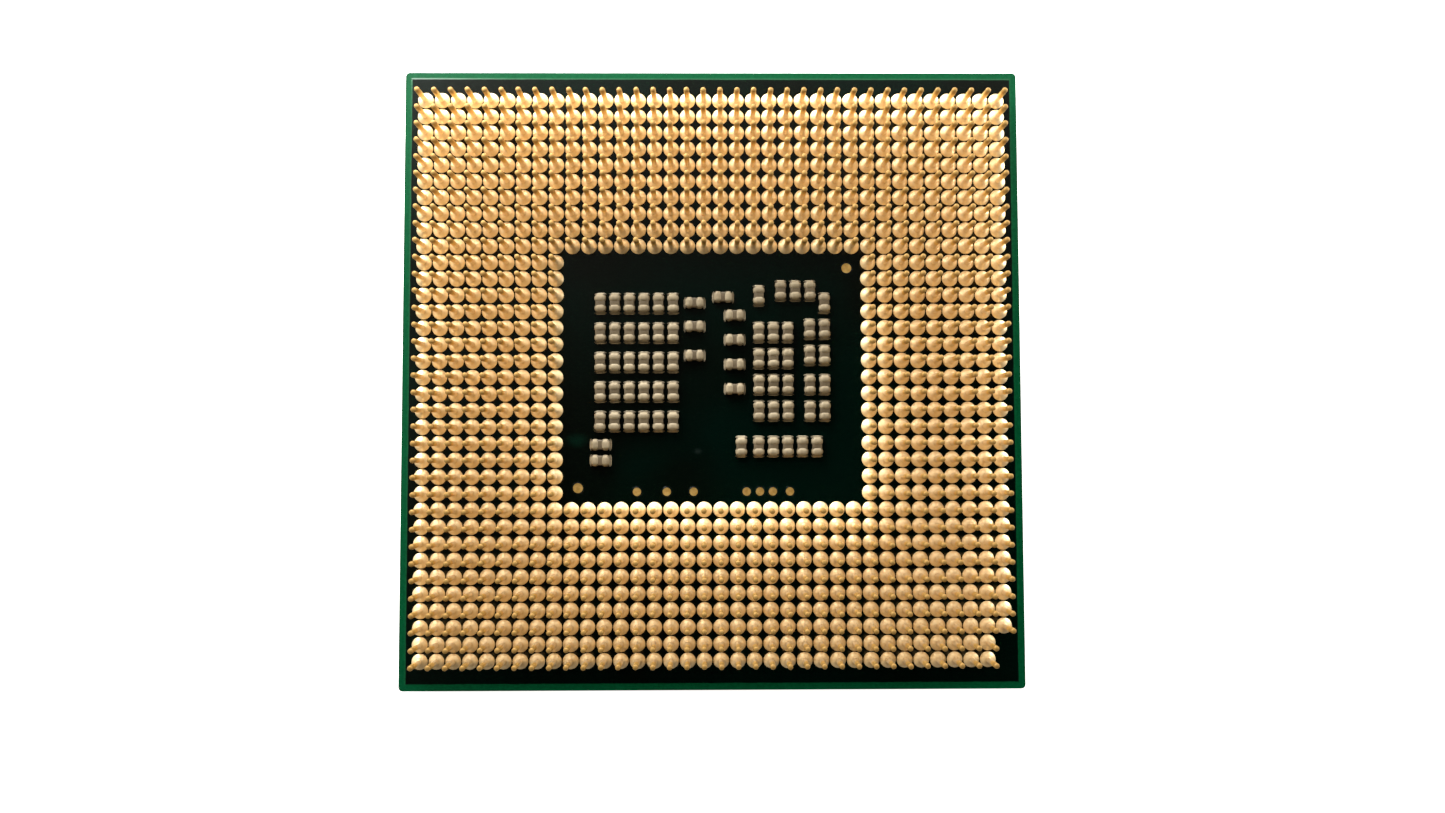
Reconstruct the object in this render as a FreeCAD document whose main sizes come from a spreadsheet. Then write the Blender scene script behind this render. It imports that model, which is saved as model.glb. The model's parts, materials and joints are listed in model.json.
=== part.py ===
"""A square pin-grid processor package, lying on the backs of its two dies with its pins pointing up.

Frame: origin at the centre of the package outline, in the plane of the die backs. +Z is the way the
pins point, +X and +Y run along the edges, and the corner with no pins is at +X, -Y. Millimetres.
"""

import FreeCAD, Part
import Sketcher
import os

doc = FreeCAD.newDocument("processor_package")

# ---------------------------------------------------------------------------
# Driving dimensions
# ---------------------------------------------------------------------------

DIMENSIONS = {
    # outline
    "package_side": 37.5,
    "corner_radius": 0.25,
    # layers, from the die side to the pin side
    "die_thickness": 0.75,
    "bump_height": 0.08,
    "mask_thickness": 0.02,
    "buildup_thickness": 0.15,
    "core_thickness": 0.80,
    "copper_thickness": 0.03,
    "copper_setback": 0.42,
    # pins
    "pin_pitch": 1.0,
    "pin_columns": 36,
    "pin_rows": 35,
    "pin_radius": 0.16,
    "pin_length": 2.03,
    "pin_tip_chamfer": 0.04,
    "cavity_first_column": 9,
    "cavity_first_row": 10,
    "cavity_columns": 18,
    "cavity_rows": 15,
    "key_rows": 2,
    # the solder dome around the foot of each pin, part of a larger ball
    "joint_foot_radius": 0.485,
    "joint_ball_radius": 0.63,
    # one capacitor, its long side along Y
    "capacitor_length": 1.16,
    "capacitor_width": 0.70,
    "capacitor_height": 0.50,
    "terminal_length": 0.38,
    "ceramic_inset": 0.04,
    "fillet_length": 0.08,
    "fillet_height": 0.36,
    "fillet_toe": 0.03,
    # gold pads in the mask
    "test_pad_radius": 0.25,
    "fiducial_radius": 0.30,
    # dies, side by side along X
    "graphics_die_x": -4.60,
    "graphics_die_length": 9.70,
    "graphics_die_width": 11.75,
    "processor_die_x": 6.25,
    "processor_die_length": 7.60,
    "processor_die_width": 10.65,
    "underfill_reach": 0.90,
    "underfill_top_reach": 0.12,
    "underfill_climb": 0.45,
    # marks on the die side
    "mark_leg": 1.6,
    "mark_inset": 1.2,
    "die_side_pad_inset": 2.0,
}

# Blocks of capacitors in the cavity: the centre of the first one, at the upper left, then how many
# columns and rows, their pitches, and whether their long side lies across, along X.
CAPACITOR_BLOCKS = {
    "west": {
        "west_array": (-6.77, 4.48, 6, 5, 0.88, 1.79, False),
        "west_pair": (-6.74, -4.08, 1, 2, 0.88, 0.95, True),
    },
    "centre": {
        "centre_upper": (-1.07, 4.50, 1, 2, 0.88, 1.43, True),
        "centre_lower": (-1.07, 1.30, 1, 1, 0.88, 1.43, True),
        "centre_step": (0.66, 4.85, 1, 1, 0.88, 1.49, True),
        "centre_column": (1.36, 3.74, 1, 4, 0.88, 1.49, True),
    },
    "east": {
        "east_lone": (2.83, 4.95, 1, 1, 0.88, 1.59, False),
        "east_top": (4.15, 5.25, 3, 1, 0.89, 1.59, False),
        "east_end": (6.80, 4.50, 1, 1, 0.88, 1.59, False),
        "east_array": (2.82, 2.71, 3, 4, 0.88, 1.59, False),
        "east_upper_pairs": (5.90, 2.91, 2, 2, 0.90, 1.59, False),
        "east_lower_pairs": (5.90, -0.47, 2, 2, 0.90, 1.60, False),
    },
    "south": {
        "south_lone": (1.74, -4.21, 1, 1, 0.88, 1.59, False),
        "south_row": (2.79, -4.21, 5, 1, 0.88, 1.59, False),
    },
}
BLOCK_FIELDS = ("x", "y", "columns", "rows", "column_pitch", "row_pitch")

TEST_PADS_Y = -6.92
TEST_PADS_X = (-4.56, -2.76, -1.14, 2.06, 2.86, 3.64, 4.67)
FIDUCIALS = ((8.19, 6.65), (-8.11, -6.69))

sheet = doc.addObject("Spreadsheet::Sheet", "sheet")
next_row = 1


def set_cell(alias, value):
    """Put one named value in the next row of the sheet."""
    global next_row
    sheet.set(f"A{next_row}", alias)
    sheet.set(f"B{next_row}", str(value))
    sheet.setAlias(f"B{next_row}", alias)
    next_row += 1


for alias, value in DIMENSIONS.items():
    set_cell(alias, value)
for blocks in CAPACITOR_BLOCKS.values():
    for block, values in blocks.items():
        for field, value in zip(BLOCK_FIELDS, values):
            set_cell(f"{block}_{field}", value)
for number, value in enumerate(TEST_PADS_X, start=1):
    set_cell(f"test_pad_{number}_x", value)
set_cell("test_pads_y", TEST_PADS_Y)
for number, (x, y) in enumerate(FIDUCIALS, start=1):
    set_cell(f"fiducial_{number}_x", x)
    set_cell(f"fiducial_{number}_y", y)

# Heights of the faces between the layers, over the die backs
set_cell("laminate_bottom", "=die_thickness + bump_height")
set_cell("core_bottom", "=laminate_bottom + buildup_thickness")
set_cell("core_top", "=core_bottom + core_thickness")
set_cell("laminate_top", "=core_top + buildup_thickness")
set_cell("pin_seat", "=laminate_top + mask_thickness")
doc.recompute()

# ---------------------------------------------------------------------------
# Helpers
# ---------------------------------------------------------------------------

Z_UP = FreeCAD.Vector(0, 0, 1)
X_RIGHT = FreeCAD.Vector(1, 0, 0)
nodes = []


def bind(thing, **expressions):
    """Bind properties of a document object to expressions on the sheet's cells."""
    for name, expression in expressions.items():
        thing.setExpression(name, expression)


def place(thing, x="0", y="0", z="0"):
    """Bind the position of a document object to the sheet."""
    for axis, expression in (("x", x), ("y", y), ("z", z)):
        thing.setExpression(f"Placement.Base.{axis}", expression)


def new_body(label, x="0", y="0", z="0", is_node=True):
    """An empty body placed by the sheet. A node's label names its file."""
    body = doc.addObject("PartDesign::Body", label)
    body.Label = label
    place(body, x, y, z)
    if is_node:
        nodes.append(body)
    return body


def origin_feature(body, role):
    """The body's own origin plane or axis with this role, such as XY_Plane."""
    return next(o for o in body.Origin.OriginFeatures if o.Role == role)


def new_sketch(body, name, plane):
    """An empty sketch on one of the body's own origin planes."""
    sketch = body.newObject("Sketcher::SketchObject", name)
    sketch.AttachmentSupport = (origin_feature(body, plane), "")
    sketch.MapMode = "FlatFace"
    return sketch


def closed_outline(sketch, points):
    """Straight edges round the points, joined end to end."""
    corners = [FreeCAD.Vector(x, y, 0) for x, y in points]
    count = len(corners)
    for i, corner in enumerate(corners):
        sketch.addGeometry(Part.LineSegment(corner, corners[(i + 1) % count]), False)
    for i in range(count):
        sketch.addConstraint(Sketcher.Constraint("Coincident", i, 2, (i + 1) % count, 1))


def name_size(sketch, constraint, name, expression):
    """Add a driving constraint and bind it to the sheet."""
    index = sketch.addConstraint(constraint)
    sketch.renameConstraint(index, name)
    sketch.setExpression(f"Constraints.{name}", expression)


def square_sketch(body, name, side):
    """A square of this side centred on the body's origin."""
    sketch = new_sketch(body, name, "XY_Plane")
    closed_outline(sketch, [(-1, -1), (1, -1), (1, 1), (-1, 1)])
    for edge, kind in enumerate(("Horizontal", "Vertical", "Horizontal", "Vertical")):
        sketch.addConstraint(Sketcher.Constraint(kind, edge))
    sketch.addConstraint(Sketcher.Constraint("Symmetric", 0, 1, 2, 1, -1, 1))
    name_size(sketch, Sketcher.Constraint("DistanceX", 0, 1, 0, 2, 2.0), "width", side)
    name_size(sketch, Sketcher.Constraint("DistanceY", 1, 1, 1, 2, 2.0), "depth", side)
    return sketch


def pad(body, sketch, thickness):
    """Pad a sketch up by a thickness from the sheet."""
    made = body.newObject("PartDesign::Pad", "slab")
    made.Profile = sketch
    bind(made, Length=thickness)
    body.Tip = made
    return made


def round_upright_edges(body, base, radius):
    """Round the edges of a slab that run along Z."""
    upright = [
        f"Edge{i}"
        for i, edge in enumerate(base.Shape.Edges, start=1)
        if abs(edge.tangentAt(edge.FirstParameter).z) > 0.99
    ]
    made = body.newObject("PartDesign::Fillet", "rounded_corners")
    made.Base = (base, upright)
    bind(made, Radius=radius)
    body.Tip = made


def primitive(body, kind, name, centre, **sizes):
    """An additive or subtractive primitive in a body, its base point placed by the sheet."""
    made = body.newObject(f"PartDesign::{kind}", name)
    bind(made, **sizes)
    place(made, *centre)
    body.Tip = made
    return made


def grid(body, originals, columns, rows, step, turned=False):
    """Repeat features in rows and columns, to the right and down as seen from above.

    columns, rows and the two steps are expressions. In a body turned by 90 degrees, the package's
    rows run against the body's own X axis.
    """
    doc.recompute()
    across, down = ("Y_Axis", "X_Axis") if turned else ("X_Axis", "Y_Axis")
    made = body.newObject("PartDesign::LinearPattern", "grid")
    made.Originals = originals
    made.Refine = False
    made.Mode = "Extent"
    made.Mode2 = "Extent"
    made.Direction = (origin_feature(body, across), [""])
    made.Direction2 = (origin_feature(body, down), [""])
    made.Reversed = turned
    made.Reversed2 = True
    bind(
        made,
        Length=f"max(({columns}) - 1; 1) * {step[0]}",
        Occurrences=columns,
        Length2=f"max(({rows}) - 1; 1) * {step[1]}",
        Occurrences2=rows,
    )
    body.Tip = made


def compound(label, parts):
    """A node made of separate solids."""
    made = doc.addObject("Part::Compound", label)
    made.Label = label
    made.Links = parts
    nodes.append(made)


# ---------------------------------------------------------------------------
# Substrate: core, copper planes, build-up layers and solder masks
# ---------------------------------------------------------------------------


def package_slab(label, z, thickness):
    """A layer with the whole package outline."""
    body = new_body(label, z=z)
    sketch = square_sketch(body, f"{label}_outline", "sheet.package_side")
    slab = pad(body, sketch, thickness)
    doc.recompute()
    round_upright_edges(body, slab, "sheet.corner_radius")
    return body


def copper_recess(body, z):
    """Cut the space that a copper plane fills in a build-up layer."""
    side = "(sheet.package_side - 2 * sheet.copper_setback)"
    primitive(
        body,
        "SubtractiveBox",
        "copper_recess",
        (f"-{side} / 2", f"-{side} / 2", z),
        Length=side,
        Width=side,
        Height="sheet.copper_thickness",
    )


def copper_plane(label, z):
    """A copper sheet set back from the package edge."""
    body = new_body(label, z=z)
    side = "sheet.package_side - 2 * sheet.copper_setback"
    pad(body, square_sketch(body, f"{label}_outline", side), "sheet.copper_thickness")


package_slab("substrate_core", "sheet.core_bottom", "sheet.core_thickness")

copper_plane("copper_plane_die_side", "sheet.core_bottom - sheet.copper_thickness")
copper_plane("copper_plane_pin_side", "sheet.core_top")

buildup_die_side = package_slab(
    "buildup_die_side", "sheet.laminate_bottom", "sheet.buildup_thickness"
)
copper_recess(buildup_die_side, "sheet.buildup_thickness - sheet.copper_thickness")

buildup_pin_side = package_slab(
    "buildup_pin_side", "sheet.core_top", "sheet.buildup_thickness"
)
copper_recess(buildup_pin_side, "0")

mask_pin_side = package_slab(
    "solder_mask_pin_side", "sheet.laminate_top", "sheet.mask_thickness"
)
mask_die_side = package_slab(
    "solder_mask_die_side",
    "sheet.laminate_bottom - sheet.mask_thickness",
    "sheet.mask_thickness",
)

# ---------------------------------------------------------------------------
# Gold pads, each in its own window of a solder mask
# ---------------------------------------------------------------------------


def pad_positions(side):
    """(name, x, y, radius) of the round pads on one side, as expressions."""
    if side == "test":
        numbers = range(1, len(TEST_PADS_X) + 1)
        return [
            (f"test_{i}", f"sheet.test_pad_{i}_x", "sheet.test_pads_y", "sheet.test_pad_radius")
            for i in numbers
        ]
    if side == "fiducial":
        numbers = range(1, len(FIDUCIALS) + 1)
        return [
            (f"fiducial_{i}", f"sheet.fiducial_{i}_x", f"sheet.fiducial_{i}_y", "sheet.fiducial_radius")
            for i in numbers
        ]
    inset = "(sheet.package_side / 2 - sheet.die_side_pad_inset)"
    corners = ((-1, 1), (1, 1), (-1, -1))
    return [
        (f"corner_{i}", f"{x} * {inset}", f"{y} * {inset}", "sheet.fiducial_radius")
        for i, (x, y) in enumerate(corners, start=1)
    ]


def round_pads(label, side, z, mask):
    """Round pads, and the windows in the mask that they fill."""
    body = new_body(label, z=z)
    for name, x, y, radius in pad_positions(side):
        sizes = {"Radius": radius, "Height": "sheet.mask_thickness"}
        primitive(body, "AdditiveCylinder", f"pad_{name}", (x, y, "0"), **sizes)
        primitive(mask, "SubtractiveCylinder", f"window_{name}", (x, y, "0"), **sizes)


round_pads("test_pads", "test", "sheet.laminate_top", mask_pin_side)
round_pads("fiducial_pads_pin_side", "fiducial", "sheet.laminate_top", mask_pin_side)
round_pads(
    "fiducial_pads_die_side",
    "corner",
    "sheet.laminate_bottom - sheet.mask_thickness",
    mask_die_side,
)


def triangle_sketch(body, name):
    """A right-angled triangle with its corner at the key corner of the package, inset from it."""
    sketch = new_sketch(body, name, "XY_Plane")
    closed_outline(sketch, [(17, -17), (17, -15), (15, -17)])
    sketch.addConstraint(Sketcher.Constraint("Vertical", 0))
    sketch.addConstraint(Sketcher.Constraint("Horizontal", 2))
    corner = "sheet.package_side / 2 - sheet.mark_inset"
    across = Sketcher.Constraint("DistanceX", -1, 1, 0, 1, 17.0)
    down = Sketcher.Constraint("DistanceY", 0, 1, -1, 1, 17.0)
    upright_leg = Sketcher.Constraint("DistanceY", 0, 1, 0, 2, 2.0)
    level_leg = Sketcher.Constraint("DistanceX", 2, 1, 2, 2, 2.0)
    name_size(sketch, across, "across", corner)
    name_size(sketch, down, "down", corner)
    name_size(sketch, upright_leg, "upright_leg", "sheet.mark_leg")
    name_size(sketch, level_leg, "level_leg", "sheet.mark_leg")
    return sketch


pin_one_mark = new_body("pin_one_mark", z="sheet.laminate_bottom - sheet.mask_thickness")
pad(pin_one_mark, triangle_sketch(pin_one_mark, "mark_outline"), "sheet.mask_thickness")

mark_window = mask_die_side.newObject("PartDesign::Pocket", "mark_window")
mark_window.Profile = triangle_sketch(mask_die_side, "mark_window_outline")
mark_window.Reversed = True
bind(mark_window, Length="sheet.mask_thickness")
mask_die_side.Tip = mark_window

# ---------------------------------------------------------------------------
# Pins and the solder domes at their feet, in four banks around the cavity
# ---------------------------------------------------------------------------

LAST_CAVITY_COLUMN = "(sheet.cavity_first_column + sheet.cavity_columns)"
LAST_CAVITY_ROW = "(sheet.cavity_first_row + sheet.cavity_rows)"

# first column, first row, columns, rows
PIN_BANKS = {
    "north": ("0", "0", "sheet.pin_columns", "sheet.cavity_first_row"),
    "south": ("0", LAST_CAVITY_ROW, "sheet.pin_columns", f"sheet.pin_rows - {LAST_CAVITY_ROW}"),
    "west": ("0", "sheet.cavity_first_row", "sheet.cavity_first_column", "sheet.cavity_rows"),
    "east": (
        LAST_CAVITY_COLUMN,
        "sheet.cavity_first_row",
        f"sheet.pin_columns - {LAST_CAVITY_COLUMN}",
        "sheet.cavity_rows",
    ),
}


def pin_profile(body):
    """Half the section of a pin: a straight shank with a chamfered tip."""
    sketch = new_sketch(body, "pin_profile", "XZ_Plane")
    closed_outline(sketch, [(0, 0), (0.16, 0), (0.16, 1.9), (0.12, 2.0), (0, 2.0)])
    for edge, kind in ((0, "Horizontal"), (1, "Vertical"), (3, "Horizontal"), (4, "Vertical")):
        sketch.addConstraint(Sketcher.Constraint(kind, edge))
    sketch.addConstraint(Sketcher.Constraint("Coincident", 0, 1, -1, 1))
    radius = Sketcher.Constraint("DistanceX", 0, 1, 0, 2, 0.16)
    length = Sketcher.Constraint("DistanceY", 4, 2, 4, 1, 2.0)
    tip_in = Sketcher.Constraint("DistanceX", 2, 2, 2, 1, 0.05)
    tip_down = Sketcher.Constraint("DistanceY", 2, 1, 2, 2, 0.1)
    name_size(sketch, radius, "radius", "sheet.pin_radius")
    name_size(sketch, length, "length", "sheet.pin_length")
    name_size(sketch, tip_in, "tip_in", "sheet.pin_tip_chamfer")
    name_size(sketch, tip_down, "tip_down", "sheet.pin_tip_chamfer")
    return sketch


def revolved(body, name, profile):
    """A full turn of a profile about the body's own Z axis."""
    made = body.newObject("PartDesign::Revolution", name)
    made.Profile = profile
    made.ReferenceAxis = (profile, ["V_Axis"])
    made.Angle = 360
    body.Tip = made
    return made


def add_pin(body):
    """One round pin standing on the body's origin."""
    return [revolved(body, "pin", pin_profile(body))]


def joint_profile(body):
    """Half the section of a solder dome: an arc over a flat foot, beside the pin's shank."""
    sketch = new_sketch(body, "joint_profile", "XZ_Plane")
    foot, rim, top = (FreeCAD.Vector(*point) for point in ((0.16, 0), (0.485, 0), (0.16, 0.2)))
    middle = FreeCAD.Vector(0.33, 0.12)
    sketch.addGeometry(Part.LineSegment(foot, rim), False)
    sketch.addGeometry(Part.Arc(rim, middle, top), False)
    sketch.addGeometry(Part.LineSegment(top, foot), False)
    sketch.addConstraint(Sketcher.Constraint("Coincident", 0, 2, 1, 1))
    sketch.addConstraint(Sketcher.Constraint("Coincident", 1, 2, 2, 1))
    sketch.addConstraint(Sketcher.Constraint("Coincident", 2, 2, 0, 1))
    sketch.addConstraint(Sketcher.Constraint("Horizontal", 0))
    sketch.addConstraint(Sketcher.Constraint("Vertical", 2))
    sketch.addConstraint(Sketcher.Constraint("PointOnObject", 0, 1, -1))
    sketch.addConstraint(Sketcher.Constraint("PointOnObject", 1, 3, -2))
    bore = Sketcher.Constraint("DistanceX", -1, 1, 0, 1, 0.16)
    reach = Sketcher.Constraint("DistanceX", -1, 1, 0, 2, 0.485)
    ball = Sketcher.Constraint("Radius", 1, 0.63)
    name_size(sketch, bore, "bore", "sheet.pin_radius")
    name_size(sketch, reach, "reach", "sheet.joint_foot_radius")
    name_size(sketch, ball, "ball", "sheet.joint_ball_radius")
    return sketch


def add_joint(body):
    """One solder dome: the cap of a ball, with the pin's shank through it."""
    return [revolved(body, "dome", joint_profile(body))]


def cut_key_corner(body, columns, rows):
    """Take the last rows of the last column out of a bank, halfway to their neighbours."""
    primitive(
        body,
        "SubtractiveBox",
        "key_corner",
        (
            f"(({columns}) - 1.5) * sheet.pin_pitch",
            f"-(({rows}) - 0.5) * sheet.pin_pitch",
            "-sheet.pin_length",
        ),
        Length="sheet.pin_pitch",
        Width="sheet.key_rows * sheet.pin_pitch",
        Height="3 * sheet.pin_length",
    )


def pin_bank(kind, bank, add):
    """A bank of pins or of solder domes."""
    first_column, first_row, columns, rows = PIN_BANKS[bank]
    body = new_body(
        f"{kind}_{bank}",
        f"(({first_column}) - (sheet.pin_columns - 1) / 2) * sheet.pin_pitch",
        f"((sheet.pin_rows - 1) / 2 - ({first_row})) * sheet.pin_pitch",
        "sheet.pin_seat",
    )
    originals = add(body)
    grid(body, originals, columns, rows, ("sheet.pin_pitch", "sheet.pin_pitch"))
    if bank == "south":
        cut_key_corner(body, columns, rows)


for bank in PIN_BANKS:
    pin_bank("pins", bank, add_pin)
for bank in PIN_BANKS:
    pin_bank("pin_joints", bank, add_joint)

# ---------------------------------------------------------------------------
# Capacitors in the cavity: ceramic bodies, plated terminals and solder fillets
# ---------------------------------------------------------------------------


def add_ceramic(body):
    """The ceramic between the two terminals, a little smaller than they are."""
    width = "(sheet.capacitor_width - 2 * sheet.ceramic_inset)"
    length = "(sheet.capacitor_length - 2 * sheet.terminal_length)"
    ceramic = primitive(
        body,
        "AdditiveBox",
        "ceramic",
        (f"-{width} / 2", f"-{length} / 2", "sheet.ceramic_inset"),
        Length=width,
        Width=length,
        Height="sheet.capacitor_height - 2 * sheet.ceramic_inset",
    )
    return [ceramic]


def add_terminals(body):
    """The two plated ends."""
    ends = {
        "upper_terminal": "sheet.capacitor_length / 2 - sheet.terminal_length",
        "lower_terminal": "-sheet.capacitor_length / 2",
    }
    return [
        primitive(
            body,
            "AdditiveBox",
            name,
            ("-sheet.capacitor_width / 2", y, "0"),
            Length="sheet.capacitor_width",
            Width="sheet.terminal_length",
            Height="sheet.capacitor_height",
        )
        for name, y in ends.items()
    ]


def add_fillets(body):
    """The solder fillets that slope away from the two ends, drawn as their side view."""
    sketch = new_sketch(body, "fillet_profile", "YZ_Plane")
    for side in (1, -1):
        first = sketch.GeometryCount
        foot, toe, shoulder = first, first + 1, first + 3
        outline = [(0.5, 0), (0.7, 0), (0.7, 0.05), (0.5, 0.3)]
        corners = [FreeCAD.Vector(side * y, z) for y, z in outline]
        for i, corner in enumerate(corners):
            sketch.addGeometry(Part.LineSegment(corner, corners[(i + 1) % 4]), False)
        for i in range(4):
            joined = (first + i, 2, first + (i + 1) % 4, 1)
            sketch.addConstraint(Sketcher.Constraint("Coincident", *joined))
        sketch.addConstraint(Sketcher.Constraint("PointOnObject", foot, 1, -1))
        sketch.addConstraint(Sketcher.Constraint("Horizontal", foot))
        sketch.addConstraint(Sketcher.Constraint("Vertical", toe))
        sketch.addConstraint(Sketcher.Constraint("Vertical", shoulder))
        inward, outward = ((-1, 1), (foot, 1)) if side > 0 else ((foot, 1), (-1, 1))
        near, far = ((foot, 1), (foot, 2)) if side > 0 else ((foot, 2), (foot, 1))
        tag = "upper" if side > 0 else "lower"
        reach = Sketcher.Constraint("DistanceX", *inward, *outward, 0.5)
        run = Sketcher.Constraint("DistanceX", *near, *far, 0.2)
        toe_height = Sketcher.Constraint("DistanceY", toe, 1, toe, 2, 0.05)
        climb = Sketcher.Constraint("DistanceY", shoulder, 2, shoulder, 1, 0.3)
        name_size(sketch, reach, f"{tag}_reach", "sheet.capacitor_length / 2")
        name_size(sketch, run, f"{tag}_run", "sheet.fillet_length")
        name_size(sketch, toe_height, f"{tag}_toe", "sheet.fillet_toe")
        name_size(sketch, climb, f"{tag}_climb", "sheet.fillet_height")
    made = pad(body, sketch, "sheet.capacitor_width")
    made.Midplane = True
    return [made]


def capacitor_block(kind, block, turned, add):
    """The same piece of every capacitor in one block, turned by 90 degrees if it lies across."""
    body = new_body(
        f"{kind}_{block}",
        f"sheet.{block}_x",
        f"sheet.{block}_y",
        "sheet.pin_seat",
        is_node=False,
    )
    if turned:
        body.Placement.Rotation = FreeCAD.Rotation(Z_UP, 90)
    originals = add(body)
    grid(
        body,
        originals,
        f"sheet.{block}_columns",
        f"sheet.{block}_rows",
        (f"sheet.{block}_column_pitch", f"sheet.{block}_row_pitch"),
        turned,
    )
    return body


CAPACITOR_PIECES = {
    "capacitor_ceramics": add_ceramic,
    "capacitor_terminals": add_terminals,
    "capacitor_joints": add_fillets,
}

for kind, add in CAPACITOR_PIECES.items():
    for bank, blocks in CAPACITOR_BLOCKS.items():
        pieces = []
        for block, values in blocks.items():
            turned = values[len(BLOCK_FIELDS)]
            pieces.append(capacitor_block(kind, block, turned, add))
        compound(f"{kind}_{bank}", pieces)

# ---------------------------------------------------------------------------
# Dies, the bump layers that carry them and the underfill around them
# ---------------------------------------------------------------------------


def centred_box(body, kind, name, length, width, z, height):
    """A box centred over the body's origin."""
    return primitive(
        body,
        kind,
        name,
        (f"-({length}) / 2", f"-({width}) / 2", z),
        Length=length,
        Width=width,
        Height=height,
    )


def die_set(name):
    """A die, its bump layer, its underfill and its window in the die-side mask."""
    x = f"sheet.{name}_die_x"
    length = f"sheet.{name}_die_length"
    width = f"sheet.{name}_die_width"

    die = new_body(f"{name}_die", x)
    centred_box(die, "AdditiveBox", "silicon", length, width, "0", "sheet.die_thickness")

    bumps = new_body(f"bump_layer_{name}", x, z="sheet.die_thickness")
    centred_box(bumps, "AdditiveBox", "bumps", length, width, "0", "sheet.bump_height")

    # the wedge tapers along its own Y axis, which is turned down towards the die's back
    underfill = new_body(f"underfill_{name}", x, z="sheet.laminate_bottom")
    skirt = primitive(
        underfill,
        "AdditiveWedge",
        "skirt",
        ("0", "0", "0"),
        Xmin=f"-{length} / 2 - sheet.underfill_reach",
        Xmax=f"{length} / 2 + sheet.underfill_reach",
        X2min=f"-{length} / 2 - sheet.underfill_top_reach",
        X2max=f"{length} / 2 + sheet.underfill_top_reach",
        Ymin="0",
        Ymax="sheet.bump_height + sheet.underfill_climb",
        Zmin=f"-{width} / 2 - sheet.underfill_reach",
        Zmax=f"{width} / 2 + sheet.underfill_reach",
        Z2min=f"-{width} / 2 - sheet.underfill_top_reach",
        Z2max=f"{width} / 2 + sheet.underfill_top_reach",
    )
    skirt.Placement.Rotation = FreeCAD.Rotation(X_RIGHT, -90)
    centred_box(
        underfill, "SubtractiveBox", "die_space", length, width, "-sheet.laminate_bottom",
        "sheet.laminate_bottom",
    )

    primitive(
        mask_die_side,
        "SubtractiveBox",
        f"{name}_window",
        (
            f"{x} - {length} / 2 - sheet.underfill_reach",
            f"-{width} / 2 - sheet.underfill_reach",
            "0",
        ),
        Length=f"{length} + 2 * sheet.underfill_reach",
        Width=f"{width} + 2 * sheet.underfill_reach",
        Height="sheet.mask_thickness",
    )


for name in ("processor", "graphics"):
    die_set(name)

# ---------------------------------------------------------------------------
# Checks and export
# ---------------------------------------------------------------------------

doc.recompute()

for thing in doc.Objects:
    if {"Invalid", "Error"} & set(thing.State):
        raise RuntimeError(f"{thing.Label} did not rebuild: {thing.State}")

pins_wanted = (
    DIMENSIONS["pin_columns"] * DIMENSIONS["pin_rows"]
    - DIMENSIONS["cavity_columns"] * DIMENSIONS["cavity_rows"]
    - DIMENSIONS["key_rows"]
)
capacitors_wanted = sum(
    values[2] * values[3] for blocks in CAPACITOR_BLOCKS.values() for values in blocks.values()
)


def count_solids(prefix):
    """How many solids the nodes with this prefix hold."""
    return sum(len(node.Shape.Solids) for node in nodes if node.Label.startswith(prefix))


counts = {
    "pins_": pins_wanted,
    "pin_joints_": pins_wanted,
    "capacitor_ceramics_": capacitors_wanted,
    "capacitor_terminals_": 2 * capacitors_wanted,
    "capacitor_joints_": 2 * capacitors_wanted,
}
for prefix, wanted in counts.items():
    found = count_solids(prefix)
    if found != wanted:
        raise RuntimeError(f"{prefix} holds {found} solids and needs {wanted}")

os.makedirs("parts", exist_ok=True)
for node in nodes:
    shape = node.Shape
    if shape.isNull() or not shape.isValid():
        raise RuntimeError(f"{node.Label} has no valid shape")
    shape.exportStep(os.path.join("parts", f"{node.Label}.step"))
    print(f"{node.Label}: {len(shape.Solids)} solids, {shape.Volume:.4f} mm3")
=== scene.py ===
"""Looks of a square pin-grid processor package that lies on its two dies with its pins up.

Lengths are in metres in the package's own frame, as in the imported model. MM turns the small sizes
of one piece, which are written in millimetres, into metres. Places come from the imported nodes.
"""

import json
import math
import random

import bmesh
import bpy
from mathutils import Matrix, Vector


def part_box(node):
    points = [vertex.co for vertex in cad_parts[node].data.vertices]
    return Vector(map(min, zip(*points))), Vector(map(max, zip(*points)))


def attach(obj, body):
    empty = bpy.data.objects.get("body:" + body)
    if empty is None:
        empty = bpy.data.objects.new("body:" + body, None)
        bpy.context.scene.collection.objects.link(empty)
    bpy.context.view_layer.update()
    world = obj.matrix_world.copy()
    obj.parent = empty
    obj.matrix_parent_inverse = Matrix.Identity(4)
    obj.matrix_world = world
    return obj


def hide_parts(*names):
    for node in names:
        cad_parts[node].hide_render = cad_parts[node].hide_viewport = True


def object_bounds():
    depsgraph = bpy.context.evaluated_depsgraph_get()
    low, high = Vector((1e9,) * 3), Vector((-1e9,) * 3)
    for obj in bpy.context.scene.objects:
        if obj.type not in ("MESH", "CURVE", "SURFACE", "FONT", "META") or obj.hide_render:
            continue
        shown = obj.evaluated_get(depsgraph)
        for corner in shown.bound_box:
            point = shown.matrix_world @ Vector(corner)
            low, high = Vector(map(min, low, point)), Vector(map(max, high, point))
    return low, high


MM = 0.001
TURN = 2 * math.pi

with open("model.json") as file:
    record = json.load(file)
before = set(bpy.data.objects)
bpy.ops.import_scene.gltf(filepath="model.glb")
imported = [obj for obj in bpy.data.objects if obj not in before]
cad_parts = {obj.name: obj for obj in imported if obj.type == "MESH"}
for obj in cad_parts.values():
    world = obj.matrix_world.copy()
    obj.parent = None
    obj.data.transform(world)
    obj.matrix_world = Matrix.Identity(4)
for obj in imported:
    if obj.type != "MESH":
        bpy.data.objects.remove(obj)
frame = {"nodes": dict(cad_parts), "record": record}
CAD_NODES = frame["nodes"]
CAD_LOW, CAD_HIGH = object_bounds()

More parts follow.
